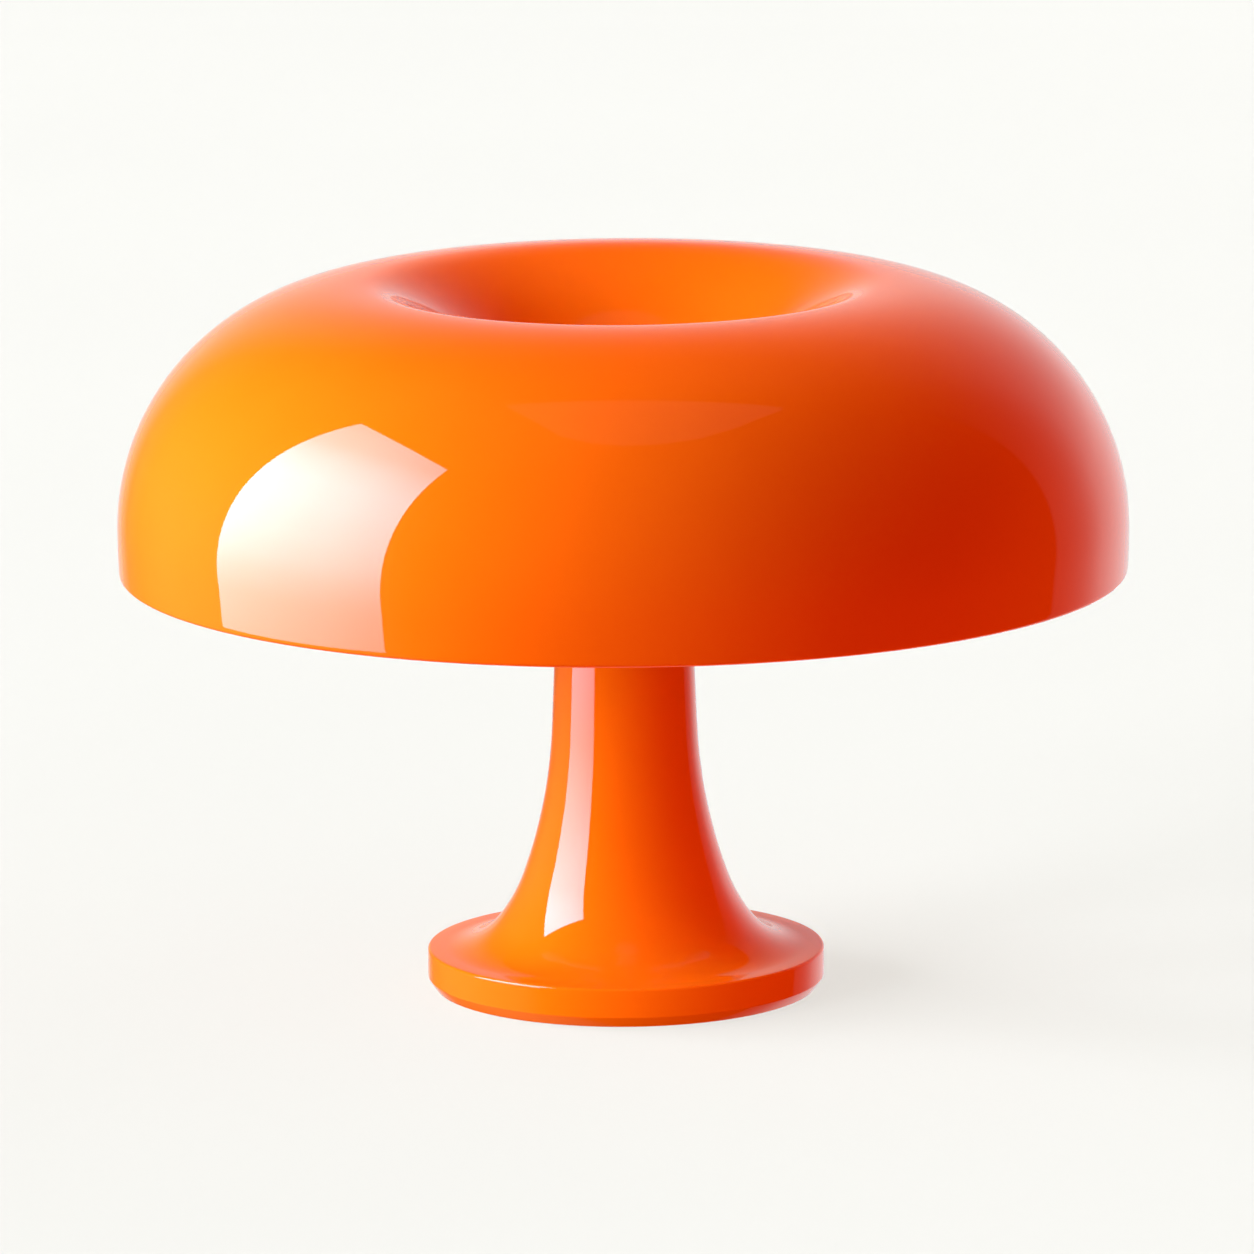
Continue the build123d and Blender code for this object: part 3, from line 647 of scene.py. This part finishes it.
stand_in(shade, "shade", "shade_body")
stand_in(stem, "stem_base", "stand")
stand_in(cap, "stem_cap", "stand")
for i in range(4):
    number = i + 1
    stand_in(globes[i], f"bulb_glass_{number}", f"bulb_{number}")
    stand_in(screw_caps[i], f"bulb_cap_{number}", f"bulb_{number}")
    stand_in(fronts[i], f"holder_shell_{number}", "stand")
    stand_in(rears[i], f"holder_cap_{number}", "stand")
    stand_in(sleeves[i], f"holder_sleeve_{number}", "stand")
print("stand-ins:", 3 + 5 * len(globes))

# %% [markdown]
# ## The floor
# The lamp stands on a smooth pale sheet that fills the whole frame. About half of its tone glows for
# the camera alone, so the sheet stays even from front to back and the shadow beside the foot stays
# light. The rest is matt paper, which takes that shadow. The paper itself is grey and strongly lit,
# so little of the lamp's orange is thrown back on it.

# %% Lay the floor
bpy.ops.object.select_all(action="DESELECT")
bpy.ops.mesh.primitive_plane_add(size=60.0, location=(0, 0, 0))
floor = bpy.context.object
floor.name = "studio_floor"
PAPER = ((0.1, 0.1, 0.1), (0.102, 0.102, 0.102))
PALE = (0.93, 0.922, 0.888, 1)
GLOW_SHARE = 0.52
pale_sheet = new_finish("pale_sheet", PAPER, (0.8, 0.9), 0.4)
wear(floor, pale_sheet)
nodes, links = pale_sheet.node_tree.nodes, pale_sheet.node_tree.links
shader = nodes["Principled BSDF"]
shader.inputs["Specular IOR Level"].default_value = 0.0
shader.inputs["Emission Color"].default_value = PALE
rays = nodes.new("ShaderNodeLightPath")
glow = nodes.new("ShaderNodeMath")
glow.operation = "MULTIPLY"
glow.inputs[1].default_value = GLOW_SHARE
links.new(rays.outputs["Is Camera Ray"], glow.inputs[0])
links.new(glow.outputs["Value"], shader.inputs["Emission Strength"])
floor.visible_glossy = floor.visible_diffuse = floor.visible_shadow = False
print("floor tone:", PAPER[0])

# %% [markdown]
# ## The studio
# One tall softbox stands close to the lamp on its left, and draws the white patch on the shade and
# the long stroke down the stem. Its cloth is brightest in the middle and fades towards the front and
# the ends. It hangs twice: one card is only seen in reflections, and a dimmer one does the lighting,
# so the gloss and the light can be set apart. A small reflector over the front of the shade draws
# the faint lens-shaped band high on the dome.

# %% Hang the softbox and the reflector
def glowing(name, colour, strength, up, across):
    """A lamp cloth: emission with one ramp up the height of its box and one across its depth."""
    material = bpy.data.materials.new(name)
    material.use_nodes = True
    nodes, links = material.node_tree.nodes, material.node_tree.links
    nodes.remove(nodes["Principled BSDF"])
    emission = nodes.new("ShaderNodeEmission")
    emission.inputs["Color"].default_value = (*colour, 1)
    place = nodes.new("ShaderNodeTexCoord")
    axes = nodes.new("ShaderNodeSeparateXYZ")
    links.new(place.outputs["Generated"], axes.inputs["Vector"])
    level = None
    for axis, stops in (("Z", up), ("Y", across)):
        ramp = nodes.new("ShaderNodeValToRGB")
        set_ramp(ramp.color_ramp, stops)
        links.new(axes.outputs[axis], ramp.inputs["Fac"])
        gain = nodes.new("ShaderNodeMath")
        gain.operation = "MULTIPLY"
        links.new(ramp.outputs["Color"], gain.inputs[0])
        if level is None:
            gain.inputs[1].default_value = strength
        else:
            links.new(level, gain.inputs[1])
        level = gain.outputs["Value"]
    links.new(level, emission.inputs["Strength"])
    links.new(emission.outputs["Emission"], nodes["Material Output"].inputs["Surface"])
    return material


def set_ramp(ramp, stops):
    """Writes grey stops, each (position, value), into a colour ramp."""
    while len(ramp.elements) > 1:
        ramp.elements.remove(ramp.elements[-1])
    ramp.elements[0].position = stops[0][0]
    ramp.elements[0].color = (stops[0][1],) * 3 + (1,)
    for position, value in stops[1:]:
        ramp.elements.new(position).color = (value,) * 3 + (1,)


def hang_card(name, corners, cloth, seen_in_gloss=True, gives_light=True):
    """A flat glowing card that the camera doesn't see and that throws no shadow."""
    mesh = bpy.data.meshes.new(name)
    mesh.from_pydata(corners, [], [tuple(range(len(corners)))])
    card = bpy.data.objects.new(name, mesh)
    bpy.context.collection.objects.link(card)
    wear(card, cloth)
    card.visible_camera = card.visible_shadow = False
    card.visible_glossy, card.visible_diffuse = seen_in_gloss, gives_light
    return card


SOFTBOX = [(-0.692, 0.042, -0.03), (-0.466, -0.407, -0.03), (-0.466, -0.407, 0.79), (-0.692, 0.042, 0.99)]
CLOTH_UP = [(0.0, 0.32), (0.08, 0.44), (0.16, 0.6), (0.22, 0.76), (0.3, 0.9), (0.42, 1.0), (0.52, 0.98),
            (0.63, 0.8), (0.75, 0.55), (1.0, 0.4)]
CLOTH_ACROSS = [(0.0, 0.74), (0.3, 0.92), (0.6, 1.0), (1.0, 1.0)]
cloth = glowing("softbox_cloth", (0.85, 0.74, 1.0), 19.5, CLOTH_UP, CLOTH_ACROSS)
glow_cloth = glowing("softbox_glow", (0.9, 1.0, 1.0), 11.6, CLOTH_UP, CLOTH_ACROSS)
softbox = hang_card("softbox", SOFTBOX, cloth, gives_light=False)
softbox_light = hang_card("softbox_light", SOFTBOX, glow_cloth, seen_in_gloss=False)
reflector_rim = [(-0.30, -0.03), (-0.27, -0.14), (-0.20, -0.36), (-0.10, -0.45), (0.0, -0.48), (0.13, -0.46),
                 (0.25, -0.39), (0.35, -0.25), (0.44, -0.03), (0.44, 0.0), (-0.30, 0.0)]
EVEN = [(0.0, 1.0), (1.0, 1.0)]
REFLECTOR_Z = 1.21
reflector = hang_card("reflector", [(x, y, REFLECTOR_Z) for x, y in reflector_rim],
                      glowing("reflector_sheet", (1.0, 1.0, 1.0), 0.16, EVEN, EVEN))
middle = sum((Vector(corner) for corner in SOFTBOX), Vector()) / len(SOFTBOX)
print("softbox at", round(math.hypot(middle.x, middle.y), 2), "m, reflector at", REFLECTOR_Z, "m")

# %% [markdown]
# A white wall behind and to the right draws the pink sheen along the right edge of everything, and
# the front of the room is dark. The wall is painted into the world, by direction: a ramp round the
# horizon and a ramp up from it. For the camera the world is plain pale, at a strength of 1.

# %% Paint the world
world = bpy.data.worlds.new("studio")
bpy.context.scene.world = world
world.use_nodes = True
nodes, links = world.node_tree.nodes, world.node_tree.links
backdrop = nodes["Background"]
backdrop.inputs["Color"].default_value = PALE
backdrop.inputs["Strength"].default_value = 1.0
wall = nodes.new("ShaderNodeBackground")
wall.inputs["Color"].default_value = (1.0, 1.0, 1.0, 1)
direction = nodes.new("ShaderNodeTexCoord")
axes = nodes.new("ShaderNodeSeparateXYZ")
links.new(direction.outputs["Generated"], axes.inputs["Vector"])


def angle_ramp(operation, inputs, span, stops):
    """An angle of the view direction, in degrees, read through a ramp of (degrees, value)."""
    angle = nodes.new("ShaderNodeMath")
    angle.operation = operation
    for socket, source in enumerate(inputs):
        links.new(axes.outputs[source], angle.inputs[socket])
    share = nodes.new("ShaderNodeMapRange")
    share.inputs["From Min"].default_value = math.radians(span[0])
    share.inputs["From Max"].default_value = math.radians(span[1])
    links.new(angle.outputs["Value"], share.inputs["Value"])
    ramp = nodes.new("ShaderNodeValToRGB")
    set_ramp(ramp.color_ramp, [((d - span[0]) / (span[1] - span[0]), v) for d, v in stops])
    links.new(share.outputs["Result"], ramp.inputs["Fac"])
    return ramp.outputs["Color"]


ROUND = [(-130, 0.0), (-115, 0.2), (-75, 0.3), (-55, 0.22), (-38, 0.11), (-26, 0.13), (-15, 0.58), (0, 0.78),
         (15, 0.98), (26, 1.0), (34, 0.96), (41, 0.84), (46, 0.62), (51, 0.42), (56, 0.29), (61, 0.2),
         (65.2, 0.15), (65.7, 0.0)]
UP = [(-20, 1.0), (3, 1.0), (10, 0.8), (20, 0.52), (30, 0.3), (40, 0.13), (52, 0.04), (90, 0.01)]
WALL_LEVEL = 0.97
round_value = angle_ramp("ARCTAN2", ("X", "Y"), (-180, 180), ROUND)
up_value = angle_ramp("ARCSINE", ("Z",), (-90, 90), UP)
wall_value = nodes.new("ShaderNodeMath")
wall_value.operation = "MULTIPLY"
links.new(round_value, wall_value.inputs[0])
links.new(up_value, wall_value.inputs[1])
gain = nodes.new("ShaderNodeMath")
gain.operation = "MULTIPLY"
gain.inputs[1].default_value = WALL_LEVEL
links.new(wall_value.outputs["Value"], gain.inputs[0])
links.new(gain.outputs["Value"], wall.inputs["Strength"])
rays = nodes.new("ShaderNodeLightPath")
blend = nodes.new("ShaderNodeMixShader")
links.new(rays.outputs["Is Camera Ray"], blend.inputs["Fac"])
links.new(wall.outputs["Background"], blend.inputs[1])
links.new(backdrop.outputs["Background"], blend.inputs[2])
links.new(blend.outputs["Shader"], nodes["World Output"].inputs["Surface"])
bpy.context.scene.view_settings.view_transform = "Standard"
print("wall brightest at", max(ROUND, key=lambda stop: stop[1])[0], "degrees")

# %% [markdown]
# Wide suns stand for the light that fills the room: the window side on the left, the pale floor
# below and the wall behind. The warm ones light the orange pieces alone and keep their shaded side
# a deep red. The floor has lamps of its own: one without a shadow keeps the sheet as even as a long
# sweep of paper, and low ones from the window side draw the shadow beside the foot. Cycles picks the
# lamps evenly, because its light tree misjudges suns as wide as these.

# %% Light the lamp and the floor
def gather(name, objects):
    """A collection that light linking can point at."""
    group = bpy.data.collections.new(name)
    for thing in objects:
        group.objects.link(thing)
    return group


cards = (floor, softbox, softbox_light, reflector)
for_floor = gather("lit_for_floor", [floor])
for_lamp = gather("lit_for_lamp", [o for o in bpy.data.objects if o.type == "MESH" and o not in cards])
for_orange = gather("lit_warm", [shade, stem, cap])
for_shade = gather("lit_shade", [shade, cap])
for_stem = gather("lit_stem", [stem])
for_inside = gather("lit_inside", [o for o in for_lamp.objects if o not in (shade, stem, cap)])
for card, lit in ((softbox, for_lamp), (softbox_light, for_orange), (reflector, for_lamp)):
    card.light_linking.receiver_collection = lit


def soft_sun(name, strength, angle, azimuth, elevation, lit, colour=(1, 1, 1)):
    """A wide sun that shines from an azimuth and elevation in degrees on the pieces it is linked to."""
    data = bpy.data.lights.new(name, "SUN")
    data.energy = strength
    data.angle = math.radians(angle)
    data.color = colour
    lamp = bpy.data.objects.new(name, data)
    bpy.context.collection.objects.link(lamp)
    a, e = math.radians(azimuth), math.radians(elevation)
    toward = Vector((math.sin(a) * math.cos(e), math.cos(a) * math.cos(e), math.sin(e)))
    lamp.rotation_euler = toward.to_track_quat("Z", "Y").to_euler()
    lamp.location = toward * 5
    lamp.visible_glossy = False
    lamp.light_linking.receiver_collection = lit
    return lamp


soft_sun("window_side", 4.4, 60, -100, 20, for_orange, (1.0, 0.99, 0.99))
soft_sun("wall_behind", 1.1, 100, 20, 15, for_lamp, (1.0, 0.85, 0.8))
soft_sun("floor_bounce", 1.6, 110, -100, -40, for_shade, (1.0, 0.15, 0.0))
soft_sun("warm_bounce", 1.7, 110, 100, -40, for_shade, (1.0, 0.27, 0.15))
soft_sun("front_bounce", 0.34, 110, 180, -35, for_shade, (1.0, 0.0, 0.0))
soft_sun("warm_right", 0.35, 100, 120, 10, for_orange, (1.0, 0.0, 0.0))
soft_sun("warm_top", 2.4, 110, 0, 50, for_shade, (1.0, 0.05, 0.0))
soft_sun("warm_front", 0.45, 100, 180, 10, for_shade, (1.0, 0.0, 0.0))
soft_sun("stem_side", 1.3, 90, -115, 5, for_stem, (0.8, 1.0, 0.4))
soft_sun("stem_front", 1.0, 100, 180, 10, for_stem, (1.0, 0.6, 0.1))
soft_sun("stem_right", 0.8, 100, 120, 10, for_stem, (1.0, 0.0, 0.0))
soft_sun("stem_behind", 1.3, 100, 20, 15, for_stem, (1.0, 0.0, 0.0))
soft_sun("stem_bounce", 0.8, 110, 180, -35, for_stem, (1.0, 0.05, 0.0))
soft_sun("inside_window", 1.9, 60, -100, 20, for_inside)
soft_sun("inside_fill", 0.6, 120, 150, 10, for_inside)
SHEET_LIGHT = (0.97, 0.985, 1.0)
floor_even = soft_sun("floor_even", 7.3, 5, 0, 90, for_floor, (0.985, 0.98, 0.885))
floor_even.data.use_shadow = False
soft_sun("floor_sky", 1.9, 150, -100, 80, for_floor, SHEET_LIGHT)
for azimuth in (-70, -100, -130):
    soft_sun(f"floor_low{azimuth}", 10.0, 22, azimuth, 12, for_floor, SHEET_LIGHT)
bpy.context.scene.cycles.use_light_tree = False
